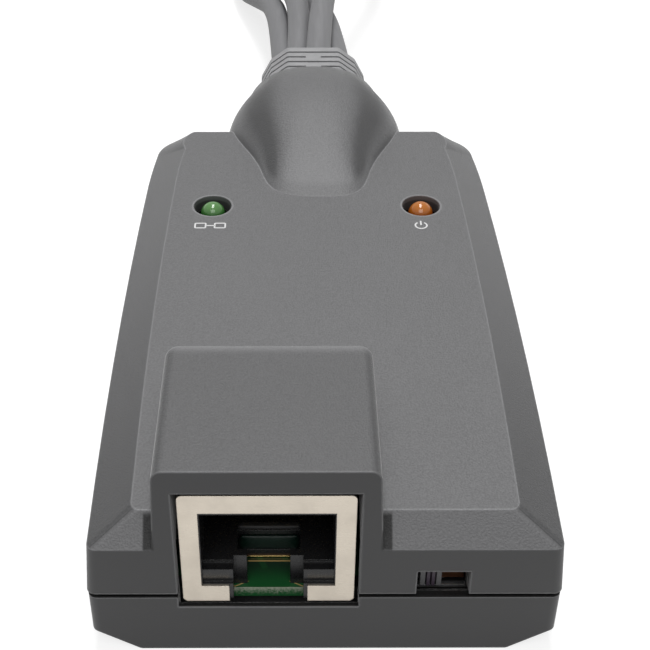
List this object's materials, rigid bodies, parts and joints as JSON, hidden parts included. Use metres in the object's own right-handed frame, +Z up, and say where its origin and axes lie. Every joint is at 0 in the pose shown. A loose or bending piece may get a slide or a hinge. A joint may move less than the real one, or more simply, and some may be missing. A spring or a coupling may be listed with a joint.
{
  "type": "kvm dongle",
  "caption": "Grey moulded server interface module with a hooded network socket at one end and video, usb and audio leads from a domed nozzle at the other.",
  "frame": {"origin": "middle of the case's footprint, socket face to nozzle rim, on the surface that it stands on", "axes": "+Y from the network socket towards the leads, +X to the right as the socket is faced, +Z up"},
  "size_m": [0.0508, 0.2886, 0.023],
  "materials": {
    "case_plastic": "fine textured grey moulding",
    "board_green": "green solder mask",
    "shield_nickel": "satin nickel plate",
    "black_moulding": "smooth black moulding",
    "gilt": "gold plate",
    "switch_steel": "tinned steel",
    "switch_black": "black base",
    "copper": "copper strip",
    "knob_grey": "smooth knob",
    "lamp_green": "tinted green lens",
    "lamp_orange": "tinted orange lens",
    "tinned_wire": "tinned wire",
    "black_sleeve": "black sleeve",
    "chip_black": "black package",
    "crystal_can": "drawn steel can",
    "capacitor_sleeve": "printed sleeve",
    "header_white": "natural nylon",
    "wire_bundle": "insulated wires",
    "lead_jacket": "matte grey jacket",
    "boot_rubber": "matte grey soft moulding",
    "screw_steel": "zinc plate",
    "tie_fabric": "black woven strap",
    "plug_moulding": "soft black moulding",
    "plug_plate": "nickel plate",
    "insert_blue": "blue insulator",
    "tongue_white": "white insulator",
    "mic_moulding": "soft pink moulding",
    "out_moulding": "soft green moulding"
  },
  "bodies": {
    "module": {"upper_shell": "case_plastic", "lower_shell": "case_plastic", "main_board": "board_green", "jack_shield": "shield_nickel", "jack_housing": "black_moulding", "jack_contacts": "gilt", "switch_frame": "switch_steel", "switch_base": "switch_black", "link_lamp": "lamp_green", "power_lamp": "lamp_orange", "lamp_leads": "tinned_wire", "lamp_spacers": "black_sleeve", "controller_chip": "chip_black", "video_chip": "chip_black", "network_magnetics": "chip_black", "crystal": "crystal_can", "capacitors": "capacitor_sleeve", "harness_header": "header_white", "harness_wires": "wire_bundle", "cable_tails": "lead_jacket", "strain_relief": "boot_rubber", "case_screws": "screw_steel", "usb_lead": "lead_jacket", "audio_mic_lead": "lead_jacket", "video_lead": "lead_jacket", "audio_out_lead": "lead_jacket", "usb_tail": "lead_jacket", "audio_mic_tail": "lead_jacket", "video_tail": "lead_jacket", "audio_out_tail": "lead_jacket", "cable_hank": "lead_jacket", "cable_tie": "tie_fabric", "video_hood": "plug_moulding", "video_shell": "plug_plate", "video_insert": "insert_blue", "video_pins": "gilt", "video_thumbscrews": "plug_moulding", "usb_overmould": "plug_moulding", "usb_shell": "plug_plate", "usb_tongue": "tongue_white", "usb_contacts": "gilt", "audio_mic_barrel": "mic_moulding", "audio_mic_pin": "plug_plate", "audio_out_barrel": "out_moulding", "audio_out_pin": "plug_plate"},
    "knob": {"switch_contact": "copper", "switch_knob": "knob_grey"}
  },
  "joints": [
    {"name": "switch_slide", "type": "slide", "parent": "module", "child": "knob", "axis": [1, 0, 0], "range_m": [0, 0.002]}
  ]
}
